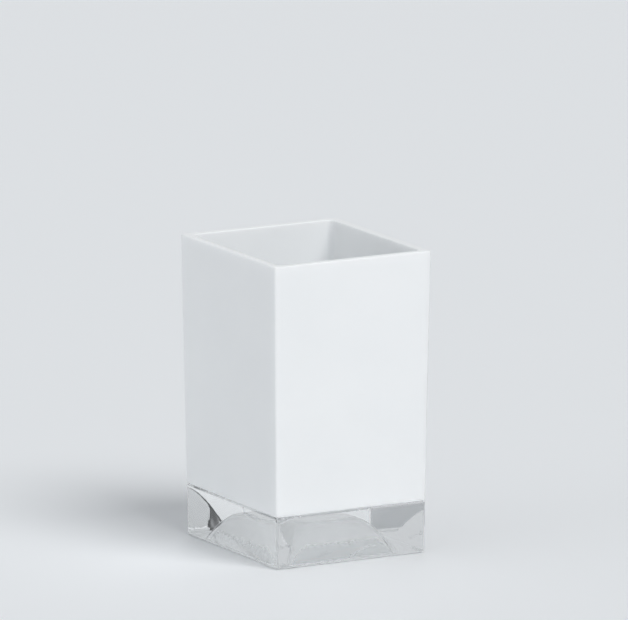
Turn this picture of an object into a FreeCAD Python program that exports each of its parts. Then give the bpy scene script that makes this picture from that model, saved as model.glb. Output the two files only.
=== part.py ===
"""Toothbrush holder: a white open-topped cup bonded to a clear block that is hollow underneath.

+Z is up and +X runs along the width. The origin is the middle of the foot, on the surface it stands on.
"""
import FreeCAD, Part
import math
import os
import Sketcher

# Every length is in millimetres.
SIZES = {
    # Outside of the whole holder. Its four sides lean in evenly from the rim down to the foot.
    "rim_width": 75.0,
    "rim_depth": 83.4,
    "side_lean": 1.9,
    "front_lean": 2.1,
    "total_height": 130.0,
    "corner_radius": 1.0,
    # Clear block.
    "base_height": 22.2,
    "base_edge_bevel": 0.7,
    # Hollow under the clear block.
    "foot_land": 8.9,
    "hollow_corner_radius": 4.0,
    "crown_thickness": 7.9,
    "crown_width": 23.2,
    "crown_depth": 18.4,
    # Bond between the block and the cup.
    "film_thickness": 0.2,
    "film_setback": 0.3,
    # White cup.
    "wall_thickness": 3.6,
    "cup_floor_thickness": 4.0,
    "inside_corner_radius": 2.5,
    # Every cut runs this far past the face that it opens.
    "cut_overrun": 1.0,
}

# Outlines of the hollow, as shares of the way in from its opening to its crown. Its walls lean in faster as
# they rise, by this power, until they are level at the crown.
HOLLOW_SHARES = (0, 0.08, 0.16, 0.25, 0.35, 0.46, 0.58, 0.72, 1)
HOLLOW_BULGE_POWER = 1.85
# Corner radius of the crown, as a share of its depth.
CROWN_CORNER_SHARE = 0.48

# Rounds on the cup, as shares of the corner radius beside them.
FLOOR_ROUND_SHARE = 0.8
RIM_ROUND_SHARE = 0.6
SEAM_ROUND_SHARE = 0.4

# Vertices closer than this to a height count as lying at it, as a share of the total height.
HEIGHT_MATCH_SHARE = 1e-6

QUARTER_TURN = math.pi / 2
CUBIC_MM_IN_CUBIC_CM = 1000

doc = FreeCAD.newDocument("toothbrush_holder")
sheet = doc.addObject("Spreadsheet::Sheet", "Sizes")
for row, (name, size) in enumerate(SIZES.items(), start=1):
    sheet.set(f"A{row}", name)
    sheet.set(f"B{row}", str(size))
    sheet.setAlias(f"B{row}", name)
doc.recompute()

CUP_UNDERSIDE = "(Sizes.base_height + Sizes.film_thickness)"
CUP_FLOOR = f"({CUP_UNDERSIDE} + Sizes.cup_floor_thickness)"
HOLLOW_HEIGHT = "(Sizes.base_height - Sizes.crown_thickness)"


def number(expression):
    """Value of an expression on the sheet, in millimetres."""
    return float(sheet.evalExpression(expression))


def outside_at(height):
    """Width and depth of the holder's outside at a height over the foot."""
    drop = f"(1 - ({height}) / Sizes.total_height)"
    return (
        f"(Sizes.rim_width - 2 * Sizes.side_lean * {drop})",
        f"(Sizes.rim_depth - 2 * Sizes.front_lean * {drop})",
    )


def inset(outline, margin):
    """An outline's width and depth, drawn in by a margin on every side."""
    return tuple(f"({length} - 2 * ({margin}))" for length in outline)


def between(start, end, share):
    """A length at a share of the way from one length to another."""
    return f"({start} * {1 - share} + {end} * {share})"


def new_body(label):
    body = doc.addObject("PartDesign::Body", label)
    body.Label = label
    body.Placement = FreeCAD.Placement()
    return body


def ground_plane(body):
    return next(feature for feature in body.Origin.OriginFeatures if feature.Role == "XY_Plane")


def rounded_outline(body, name, height, outline, radius):
    """Sketch of a rounded rectangle about the upright axis, at a height over the foot."""
    sketch = body.newObject("Sketcher::SketchObject", name)
    sketch.AttachmentSupport = [(ground_plane(body), "")]
    sketch.MapMode = "FlatFace"
    sketch.setExpression("AttachmentOffset.Base.z", height)
    width, depth = outline
    corner = number(radius)
    side = number(width) / 2
    front = number(depth) / 2
    flat_side = side - corner
    flat_front = front - corner
    # Lines run anticlockwise from the front side, each followed by the arc of the corner at its end.
    starts = ((-flat_side, -front), (side, -flat_front), (flat_side, front), (-side, flat_front))
    ends = ((flat_side, -front), (side, flat_front), (-flat_side, front), (-side, -flat_front))
    corner_ways = ((1, -1), (1, 1), (-1, 1), (-1, -1))
    centres = tuple((across * flat_side, along * flat_front) for across, along in corner_ways)
    upright = FreeCAD.Vector(0, 0, 1)
    lines = []
    arcs = []
    for turn, (start, end, centre) in enumerate(zip(starts, ends, centres)):
        line = Part.LineSegment(FreeCAD.Vector(*start, 0), FreeCAD.Vector(*end, 0))
        lines.append(sketch.addGeometry(line, False))
        circle = Part.Circle(FreeCAD.Vector(*centre, 0), upright, corner)
        arc = Part.ArcOfCircle(circle, (turn - 1) * QUARTER_TURN, turn * QUARTER_TURN)
        arcs.append(sketch.addGeometry(arc, False))
    # Numbers by which a sketch knows the two ends of a line or an arc, and its own origin.
    start_point, end_point, origin = 1, 2, -1
    for turn, (line, arc) in enumerate(zip(lines, arcs)):
        following = lines[(turn + 1) % len(lines)]
        direction = ("Horizontal", "Vertical")[turn % 2]
        sketch.addConstraint(Sketcher.Constraint("Tangent", line, end_point, arc, start_point))
        sketch.addConstraint(Sketcher.Constraint("Tangent", arc, end_point, following, start_point))
        sketch.addConstraint(Sketcher.Constraint(direction, line))
    for arc in arcs[1:]:
        sketch.addConstraint(Sketcher.Constraint("Equal", arcs[0], arc))
    front_line, right_line, back_line, left_line = lines
    sketch.addConstraint(
        Sketcher.Constraint("Symmetric", front_line, start_point, back_line, start_point, origin, start_point)
    )
    left_to_right = (left_line, start_point, right_line, start_point, 2 * side)
    front_to_back = (front_line, start_point, back_line, start_point, 2 * front)
    driven = (
        ("width", width, Sketcher.Constraint("DistanceX", *left_to_right)),
        ("depth", depth, Sketcher.Constraint("DistanceY", *front_to_back)),
        ("radius", radius, Sketcher.Constraint("Radius", arcs[0], corner)),
    )
    for label, expression, constraint in driven:
        sketch.renameConstraint(sketch.addConstraint(constraint), label)
        sketch.setExpression(f"Constraints.{label}", expression)
    return sketch


def loft(body, kind, name, sketches):
    """Solid added or cut through a row of outlines, straight from each to the next."""
    feature = body.newObject(f"PartDesign::{kind}Loft", name)
    feature.Profile = sketches[0]
    feature.Sections = sketches[1:]
    feature.Ruled = True
    doc.recompute()
    return feature


def edges_at(feature, height):
    """Names of the edges that lie wholly at one height."""
    level = number(height)
    slack = HEIGHT_MATCH_SHARE * number("Sizes.total_height")
    return [
        f"Edge{place}"
        for place, edge in enumerate(feature.Shape.Edges, start=1)
        if all(abs(vertex.Z - level) < slack for vertex in edge.Vertexes)
    ]


def round_edges(body, name, height, radius):
    """Fillet on every edge at one height."""
    base = body.Tip
    feature = body.newObject("PartDesign::Fillet", name)
    feature.Base = (base, edges_at(base, height))
    feature.setExpression("Radius", radius)
    doc.recompute()
    return feature


def outer_form(body, levels):
    """Tapered block with the holder's outside, through (height, margin) levels from the foot up."""
    sketches = [
        rounded_outline(
            body, f"outline_{place}", height, inset(outside_at(height), margin), "Sizes.corner_radius"
        )
        for place, (height, margin) in enumerate(levels)
    ]
    return loft(body, "Additive", "outer_form", sketches)


def must_cut(body, volume_before):
    if not body.Shape.Volume < volume_before:
        raise RuntimeError(f"a cut in {body.Label} removed nothing")


def make_clear_base():
    """Clear block with bevelled edges and a hollow at the foot, whose walls curve over to a level crown."""
    body = new_body("clear_base")
    bevel = "Sizes.base_edge_bevel"
    bevel_top = f"(Sizes.base_height - {bevel})"
    outer_form(body, (("0", bevel), (bevel, "0"), (bevel_top, "0"), ("Sizes.base_height", bevel)))
    opening = inset(outside_at("0"), "Sizes.foot_land")
    crown = ("Sizes.crown_width", "Sizes.crown_depth")
    crown_corner = f"Sizes.crown_depth * {CROWN_CORNER_SHARE}"
    sections = []
    for place, share in enumerate(HOLLOW_SHARES):
        height = f"({HOLLOW_HEIGHT} * {1 - (1 - share) ** HOLLOW_BULGE_POWER})"
        outline = tuple(between(low, high, share) for low, high in zip(opening, crown))
        corner = between("Sizes.hollow_corner_radius", crown_corner, share)
        sections.append(rounded_outline(body, f"hollow_{place}", height, outline, corner))
    solid_volume = body.Shape.Volume
    loft(body, "Subtractive", "hollow", sections)
    must_cut(body, solid_volume)
    return body


def make_adhesive_film():
    """Thin layer on the flat of the block's top, set back from the bevelled edge."""
    body = new_body("adhesive_film")
    margin = "Sizes.base_edge_bevel + Sizes.film_setback"
    outline = inset(outside_at("Sizes.base_height"), margin)
    sketch = rounded_outline(body, "film_outline", "Sizes.base_height", outline, "Sizes.corner_radius")
    pad = body.newObject("PartDesign::Pad", "film")
    pad.Profile = sketch
    pad.setExpression("Length", "Sizes.film_thickness")
    doc.recompute()
    return body


def make_white_cup():
    """Open-topped cup with even walls, a floor and rounded edges."""
    body = new_body("white_cup")
    outer_form(body, ((CUP_UNDERSIDE, "0"), ("Sizes.total_height", "0")))
    mouth = "(Sizes.total_height + Sizes.cut_overrun)"
    sections = [
        rounded_outline(
            body, f"inside_{end}", height, inset(outside_at(height), "Sizes.wall_thickness"),
            "Sizes.inside_corner_radius",
        )
        for end, height in (("floor", CUP_FLOOR), ("mouth", mouth))
    ]
    solid_volume = body.Shape.Volume
    loft(body, "Subtractive", "inside", sections)
    must_cut(body, solid_volume)
    round_edges(body, "floor_round", CUP_FLOOR, f"Sizes.inside_corner_radius * {FLOOR_ROUND_SHARE}")
    round_edges(body, "rim_round", "Sizes.total_height", f"Sizes.corner_radius * {RIM_ROUND_SHARE}")
    round_edges(body, "seam_round", CUP_UNDERSIDE, f"Sizes.corner_radius * {SEAM_ROUND_SHARE}")
    return body


pieces = [make_clear_base(), make_adhesive_film(), make_white_cup()]
doc.recompute()

for item in doc.Objects:
    if {"Invalid", "Error"} & set(item.State):
        raise RuntimeError(f"{item.Name} failed: {item.State}")
for piece in pieces:
    if piece.Shape.isNull() or not piece.Shape.isValid() or len(piece.Shape.Solids) != 1:
        raise RuntimeError(f"{piece.Label} isn't one valid solid")

os.makedirs("parts", exist_ok=True)
for piece in pieces:
    piece.Shape.exportStep(f"parts/{piece.Label}.step")
    volume = round(piece.Shape.Volume / CUBIC_MM_IN_CUBIC_CM, 2)
    print(piece.Label, volume, "cm3", piece.Shape.BoundBox)
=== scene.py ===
"""Looks of a toothbrush holder: a white moulded cup bonded onto a clear block that is hollow underneath.

Lengths are in metres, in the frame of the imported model: +Z is up and the origin is the middle of the foot.
"""
import math

import bmesh
import bpy
from mathutils import Matrix, Vector


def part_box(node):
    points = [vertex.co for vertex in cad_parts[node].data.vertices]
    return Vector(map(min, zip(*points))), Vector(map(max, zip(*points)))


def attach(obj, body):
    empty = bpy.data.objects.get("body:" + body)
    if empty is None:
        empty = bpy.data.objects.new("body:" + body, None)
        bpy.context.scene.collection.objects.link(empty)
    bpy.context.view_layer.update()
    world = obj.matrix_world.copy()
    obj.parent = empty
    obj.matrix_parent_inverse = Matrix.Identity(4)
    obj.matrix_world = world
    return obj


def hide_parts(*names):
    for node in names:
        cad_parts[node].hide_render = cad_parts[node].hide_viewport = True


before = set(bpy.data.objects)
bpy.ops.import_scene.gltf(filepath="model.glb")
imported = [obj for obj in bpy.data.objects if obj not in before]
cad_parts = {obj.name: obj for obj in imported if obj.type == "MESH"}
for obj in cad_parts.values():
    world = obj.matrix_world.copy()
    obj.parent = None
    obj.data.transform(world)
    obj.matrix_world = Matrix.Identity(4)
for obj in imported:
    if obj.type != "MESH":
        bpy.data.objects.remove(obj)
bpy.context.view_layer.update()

MM = 0.001

# Rounds and bevels of the outside.
CORNER_ROUND = 1.0 * MM
RIM_ROUND = 0.6 * MM
SEAM_ROUND = 0.4 * MM
BLOCK_BEVEL = 0.7 * MM

# White cup.
WALL = 3.6 * MM
CUP_FLOOR = 4.0 * MM
INSIDE_CORNER_ROUND = 2.5 * MM
INSIDE_FLOOR_ROUND = 2.0 * MM

# Hollow under the clear block.
FOOT_LAND = 8.9 * MM
CROWN_THICKNESS = 7.9 * MM
CROWN_HALF = Vector((11.6, 9.2)) * MM
CROWN_CORNER = 8.8 * MM
HOLLOW_CORNER = 4.0 * MM
# The walls of the hollow lean in faster as they rise, by this power, until they are level at the crown.
HOLLOW_BULGE = 1.85

# Waves in the faces of the clear block: their heights, and how many lie along a metre.
HOLLOW_WAVES = 0.1 * MM
SIDE_WAVES = 0.02 * MM
WAVE_SCALE = 180.0
CLEAR_TINT = (0.985, 0.993, 0.993, 1)
CLEAR_INDEX = 1.49

# White plastic: clouds and grain with how many lie along a metre, and how far light travels in it.
CLOUD_SCALE = 28.0
CLOUD_TONES = ((0.3, (0.870, 0.884, 0.892, 1)), (0.7, (0.890, 0.902, 0.908, 1)))
CLOUD_GLOSS = (0.32, 0.42)
GRAIN_SCALE = 2600.0
GRAIN_STRENGTH = 0.12
GRAIN_HEIGHT = 0.03 * MM
WHITE_INDEX = 1.5
TRANSLUCENCE = 0.8
LIGHT_TRAVEL = 5.0 * MM

# Adhesive. Its faint glow is painted light: it stands in for the light that reaches it through the
# translucent cup.
BLOTCH_SCALE = 90.0
BLOTCH_TONES = ((0, (0.92, 0.93, 0.935, 1)), (1, (0.95, 0.955, 0.96, 1)))
BOND_ROUGHNESS = 0.7
BOND_PAINTED_GLOW = (0.96, 0.985, 1.0, 1)
BOND_PAINTED_GLOW_STRENGTH = 0.234

# The bond wets the block, so it reaches this far into it.
BOND_WETTING = 0.05 * MM

# Faces across each kind of round.
CORNER_STEPS = 12
ROUND_STEPS = 5
HOLLOW_STEPS = 24
SHARP_ANGLE = math.radians(30)
LEVEL_SLACK = 1e-3 * MM
STACK_STEP = 10 * MM

block_low, block_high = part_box("clear_base")
bond_low, bond_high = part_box("adhesive_film")
cup_low, cup_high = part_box("white_cup")


def outside(height):
    """Half width and half depth of the holder's outside, on the line through its two widest levels."""
    low_level = block_high.z - BLOCK_BEVEL
    high_level = cup_high.z - RIM_ROUND
    return block_high.xy.lerp(cup_high.xy, (height - low_level) / (high_level - low_level))


def drawn_in(half, margin):
    return half - Vector((margin, margin))


def edges_at(shape, height):
    """Edges that lie at one height."""
    return [
        edge for edge in shape.edges if all(abs(vert.co.z - height) < LEVEL_SLACK for vert in edge.verts)
    ]


def folds_at(shape, height):
    """Edges at one height where the faces on their two sides meet at an angle."""
    return [edge for edge in edges_at(shape, height) if edge.calc_face_angle() > SHARP_ANGLE]


def rounded(shape, edges, offset, steps):
    bmesh.ops.bevel(
        shape, geom=edges, offset=offset, offset_type="OFFSET", segments=steps, profile=0.5,
        affect="EDGES", material=-1,
    )


def outline_face(shape, half, corner, height):
    """A level face with rounded corners, added to the shape."""
    known = set(shape.faces)
    plate = bmesh.ops.create_grid(shape, x_segments=1, y_segments=1, size=1)["verts"]
    bmesh.ops.scale(shape, vec=(half.x, half.y, 1), verts=plate)
    bmesh.ops.translate(shape, vec=(0, 0, height), verts=plate)
    bmesh.ops.bevel(
        shape, geom=plate, offset=corner, offset_type="OFFSET", segments=CORNER_STEPS, profile=0.5,
        affect="VERTICES", material=-1,
    )
    return next(face for face in shape.faces if face not in known)


def skinned(outlines):
    """Closed shape through a row of (half, corner, height) outlines.

    The outlines are stacked evenly while they are joined, and each then goes to its own height.
    """
    shape = bmesh.new()
    faces = [
        outline_face(shape, half, corner, place * STACK_STEP)
        for place, (half, corner, height) in enumerate(outlines)
    ]
    rings = [list(face.verts) for face in faces]
    for lower, upper in zip(faces, faces[1:]):
        bmesh.ops.bridge_loops(shape, edges=list(lower.edges) + list(upper.edges))
    bmesh.ops.delete(shape, geom=faces[1:-1], context="FACES_ONLY")
    for place, (ring, (half, corner, height)) in enumerate(zip(rings, outlines)):
        bmesh.ops.translate(shape, vec=(0, 0, height - place * STACK_STEP), verts=ring)
    bmesh.ops.recalc_face_normals(shape, faces=shape.faces)
    return shape


def finished(name, shape, material):
    """Makes the shape a piece of the holder, attached to its root body; the caller hides the CAD node it
    stands for.
    """
    mesh = bpy.data.meshes.new(name)
    shape.to_mesh(mesh)
    shape.free()
    mesh.shade_smooth()
    mesh.set_sharp_from_angle(angle=SHARP_ANGLE)
    mesh.materials.append(material)
    piece = bpy.data.objects.new(name, mesh)
    bpy.context.scene.collection.objects.link(piece)
    evened = piece.modifiers.new("even_shading", "WEIGHTED_NORMAL")
    evened.keep_sharp = True
    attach(piece, "root")
    return piece


def cup_shape():
    """Open cup: an outer and an inner shell joined at the rim."""
    floor_level = cup_low.z + CUP_FLOOR
    shape = skinned((
        (outside(cup_low.z), CORNER_ROUND, cup_low.z),
        (outside(cup_high.z), CORNER_ROUND, cup_high.z),
        (drawn_in(outside(cup_high.z), WALL), INSIDE_CORNER_ROUND, cup_high.z),
        (drawn_in(outside(floor_level), WALL), INSIDE_CORNER_ROUND, floor_level),
    ))
    rounded(shape, edges_at(shape, floor_level), INSIDE_FLOOR_ROUND, ROUND_STEPS)
    rounded(shape, edges_at(shape, cup_low.z), SEAM_ROUND, ROUND_STEPS)
    rounded(shape, folds_at(shape, cup_high.z), RIM_ROUND, ROUND_STEPS)
    return shape


def block_shape():
    """Clear block with bevelled edges, and a hollow whose walls curve over to a level crown."""
    opening = drawn_in(outside(block_low.z), FOOT_LAND)
    hollow_height = block_high.z - CROWN_THICKNESS - block_low.z
    bevel_levels = (
        (block_high.z, BLOCK_BEVEL),
        (block_high.z - BLOCK_BEVEL, 0),
        (block_low.z + BLOCK_BEVEL, 0),
        (block_low.z, BLOCK_BEVEL),
    )
    outer = [(drawn_in(outside(height), margin), CORNER_ROUND, height) for height, margin in bevel_levels]
    hollow = []
    for step in range(HOLLOW_STEPS + 1):
        share = step / HOLLOW_STEPS
        rise = 1 - (1 - share) ** HOLLOW_BULGE
        corner = HOLLOW_CORNER + (CROWN_CORNER - HOLLOW_CORNER) * share
        hollow.append((opening.lerp(CROWN_HALF, share), corner, block_low.z + hollow_height * rise))
    return skinned(outer + hollow)


def bond_shape():
    """Thin layer between the block and the cup."""
    levels = (bond_low.z - BOND_WETTING, bond_high.z)
    return skinned([(bond_high.xy, CORNER_ROUND, height) for height in levels])


def new_material(name):
    """A material, its shader, a helper that adds a node to it, and its links.

    The helper is given a node's values and links by socket.
    """
    material = bpy.data.materials.new(name)
    material.use_nodes = True
    tree = material.node_tree

    def node(kind, values=None, links=None):
        made = tree.nodes.new(kind)
        for socket, value in (values or {}).items():
            made.inputs[socket].default_value = value
        for socket, source in (links or {}).items():
            tree.links.new(source, made.inputs[socket])
        return made

    return material, tree.nodes["Principled BSDF"], node, tree.links


def set_tones(ramp, tones):
    """Puts (position, colour) pairs on a colour ramp."""
    for element, (position, colour) in zip(ramp.color_ramp.elements, tones):
        element.position = position
        element.color = colour


def white_plastic():
    """Satin, slightly translucent moulded plastic: a fine grain, with faint clouds in tone and gloss."""
    material, shader, node, links = new_material("white_plastic")
    place = node("ShaderNodeTexCoord").outputs["Object"]
    clouds = node("ShaderNodeTexNoise", {"Scale": CLOUD_SCALE, "Detail": 3.0}, {"Vector": place})
    tone = node("ShaderNodeValToRGB", {}, {"Fac": clouds.outputs["Fac"]})
    set_tones(tone, CLOUD_TONES)
    smooth, rough = CLOUD_GLOSS
    gloss = node(
        "ShaderNodeMapRange", {"To Min": smooth, "To Max": rough}, {"Value": clouds.outputs["Fac"]}
    )
    grain = node("ShaderNodeTexNoise", {"Scale": GRAIN_SCALE, "Detail": 2.0}, {"Vector": place})
    relief = node(
        "ShaderNodeBump", {"Strength": GRAIN_STRENGTH, "Distance": GRAIN_HEIGHT},
        {"Height": grain.outputs["Fac"]},
    )
    links.new(tone.outputs["Color"], shader.inputs["Base Color"])
    links.new(gloss.outputs["Result"], shader.inputs["Roughness"])
    links.new(relief.outputs["Normal"], shader.inputs["Normal"])
    shader.inputs["IOR"].default_value = WHITE_INDEX
    shader.inputs["Subsurface Weight"].default_value = TRANSLUCENCE
    shader.inputs["Subsurface Radius"].default_value = (1.0, 1.0, 1.0)
    shader.inputs["Subsurface Scale"].default_value = LIGHT_TRAVEL
    return material


def clear_plastic():
    """Polished clear plastic: the moulding left faint waves in its sides and stronger ones in its hollow."""
    material, shader, node, links = new_material("clear_plastic")
    place = node("ShaderNodeTexCoord").outputs["Object"]
    waves = node("ShaderNodeTexNoise", {"Scale": WAVE_SCALE, "Detail": 2.0}, {"Vector": place})
    from_middle = node("ShaderNodeVectorMath", {}, {"Vector": place})
    from_middle.operation = "ABSOLUTE"
    past_sides = node("ShaderNodeVectorMath", {1: block_high}, {0: from_middle.outputs["Vector"]})
    past_sides.operation = "SUBTRACT"
    axes = node("ShaderNodeSeparateXYZ", {}, {"Vector": past_sides.outputs["Vector"]})
    past_side = node("ShaderNodeMath", {}, {0: axes.outputs["X"], 1: axes.outputs["Y"]})
    past_side.operation = "MAXIMUM"
    wave_height = node(
        "ShaderNodeMapRange",
        {"From Min": -FOOT_LAND, "From Max": 0, "To Min": HOLLOW_WAVES, "To Max": SIDE_WAVES},
        {"Value": past_side.outputs["Value"]},
    )
    surface = node("ShaderNodeMath", {}, {0: waves.outputs["Fac"], 1: wave_height.outputs["Result"]})
    surface.operation = "MULTIPLY"
    relief = node("ShaderNodeBump", {"Distance": 1.0}, {"Height": surface.outputs["Value"]})
    links.new(relief.outputs["Normal"], shader.inputs["Normal"])
    shader.inputs["Base Color"].default_value = CLEAR_TINT
    shader.inputs["Roughness"].default_value = 0.0
    shader.inputs["Transmission Weight"].default_value = 1.0
    shader.inputs["IOR"].default_value = CLEAR_INDEX
    return material


def white_adhesive():
    """Cured white adhesive, matt and slightly uneven, with a faint glow that is painted light standing in
    for light through the cup.
    """
    material, shader, node, links = new_material("white_adhesive")
    place = node("ShaderNodeTexCoord").outputs["Object"]
    blotches = node("ShaderNodeTexNoise", {"Scale": BLOTCH_SCALE, "Detail": 3.0}, {"Vector": place})
    tone = node("ShaderNodeValToRGB", {}, {"Fac": blotches.outputs["Fac"]})
    set_tones(tone, BLOTCH_TONES)
    links.new(tone.outputs["Color"], shader.inputs["Base Color"])
    shader.inputs["Roughness"].default_value = BOND_ROUGHNESS
    # Painted light: this emission stands in for the light that comes through the translucent cup onto the
    # bond.
    shader.inputs["Emission Color"].default_value = BOND_PAINTED_GLOW
    shader.inputs["Emission Strength"].default_value = BOND_PAINTED_GLOW_STRENGTH
    return material


cup = finished("cup", cup_shape(), white_plastic())
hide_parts("white_cup")
block = finished("clear_block", block_shape(), clear_plastic())
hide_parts("clear_base")
bond = finished("bond", bond_shape(), white_adhesive())
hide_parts("adhesive_film")


# Stage: a floor, two broad lights and a pale room.
FLOOR_HALF = 4.0
FLOOR_GAP = 0.3 * MM
LIGHT_SPREAD = math.radians(33)
FLOOR_COLOUR = (0.85, 0.865, 0.88, 1)
FLOOR_ROUGHNESS = 0.5
KEY_SIDE = (0.159, -0.595, 0.788)
KEY_POWER = 1.69
FILL_SIDE = (-1.732, 0, 1.0)
FILL_POWER = 0.10
ROOM_COLOUR = (0.94, 0.97, 1.0, 1)
ROOM_STRENGTH = 0.62
DARK_STRENGTH = 0.03
DARK_SIDE = (0.853, -0.150, 0.5)
DARK_OUTER = math.radians(50)
DARK_INNER = math.radians(38)


def pale_floor():
    material, shader = new_material("pale_floor")[:2]
    shader.inputs["Base Color"].default_value = FLOOR_COLOUR
    shader.inputs["Roughness"].default_value = FLOOR_ROUGHNESS
    return material


def add_floor():
    shape = bmesh.new()
    bmesh.ops.create_grid(shape, x_segments=1, y_segments=1, size=FLOOR_HALF)
    bmesh.ops.translate(shape, vec=(0, 0, -FLOOR_GAP), verts=shape.verts)
    mesh = bpy.data.meshes.new("floor")
    shape.to_mesh(mesh)
    shape.free()
    mesh.materials.append(pale_floor())
    floor = bpy.data.objects.new("floor", mesh)
    bpy.context.scene.collection.objects.link(floor)


def add_light(name, place, power):
    """A broad even light from one direction."""
    lamp = bpy.data.lights.new(name, "SUN")
    lamp.energy = power
    lamp.angle = LIGHT_SPREAD
    light = bpy.data.objects.new(name, lamp)
    light.location = place
    light.rotation_euler = light.location.to_track_quat("Z", "Y").to_euler()
    bpy.context.scene.collection.objects.link(light)


def add_world():
    """A pale room with one dark side."""
    world = bpy.data.worlds.new("soft_room")
    world.use_nodes = True
    tree = world.node_tree
    background = tree.nodes["Background"]
    background.inputs["Color"].default_value = ROOM_COLOUR
    way = tree.nodes.new("ShaderNodeTexCoord")
    nearness = tree.nodes.new("ShaderNodeVectorMath")
    nearness.operation = "DOT_PRODUCT"
    nearness.inputs[1].default_value = DARK_SIDE
    tree.links.new(way.outputs["Generated"], nearness.inputs[0])
    strength = tree.nodes.new("ShaderNodeMapRange")
    strength.interpolation_type = "SMOOTHSTEP"
    strength.inputs["From Min"].default_value = math.cos(DARK_OUTER)
    strength.inputs["From Max"].default_value = math.cos(DARK_INNER)
    strength.inputs["To Min"].default_value = ROOM_STRENGTH
    strength.inputs["To Max"].default_value = DARK_STRENGTH
    tree.links.new(nearness.outputs["Value"], strength.inputs["Value"])
    tree.links.new(strength.outputs["Result"], background.inputs["Strength"])
    bpy.context.scene.world = world


# How often light is followed through clear plastic, off gloss and off matt faces.
CLEAR_BOUNCES = 24
GLOSS_BOUNCES = 12
MATT_BOUNCES = 8

# Camera: the photograph's angle, in a frame of 628 by 620 pixels.
IMAGE_WIDTH = 628
FOCAL_PIXELS = 12330
SENSOR_WIDTH = 36.0
TURN = math.radians(28.89)
PITCH = math.radians(11.50)
CAMERA_DISTANCE = 5.211
CAMERA_REACH = 100
AIM_RIGHT = 3.57 * MM
AIM_UP = 35.08 * MM


def add_camera():
    lens = bpy.data.cameras.new("camera")
    lens.sensor_width = SENSOR_WIDTH
    lens.lens = SENSOR_WIDTH * FOCAL_PIXELS / IMAGE_WIDTH
    lens.clip_end = CAMERA_REACH
    camera = bpy.data.objects.new("camera", lens)
    right = Vector((math.cos(TURN), -math.sin(TURN), 0))
    level_ahead = Vector((math.sin(TURN), math.cos(TURN), 0))
    ahead = level_ahead * math.cos(PITCH) - Vector((0, 0, math.sin(PITCH)))
    up = right.cross(ahead)
    aim = Vector((0, 0, cup_high.z / 2)) + right * AIM_RIGHT + up * AIM_UP
    turned = Matrix((right, up, -ahead)).transposed().to_4x4()
    camera.matrix_world = Matrix.Translation(aim - ahead * CAMERA_DISTANCE) @ turned
    bpy.context.scene.collection.objects.link(camera)
    bpy.context.scene.camera = camera


add_floor()
add_world()
add_light("key", KEY_SIDE, KEY_POWER)
add_light("left_fill", FILL_SIDE, FILL_POWER)
add_camera()

scene = bpy.context.scene
scene.view_settings.view_transform = "Standard"
scene.cycles.max_bounces = CLEAR_BOUNCES
scene.cycles.transmission_bounces = CLEAR_BOUNCES
scene.cycles.glossy_bounces = GLOSS_BOUNCES
scene.cycles.diffuse_bounces = MATT_BOUNCES
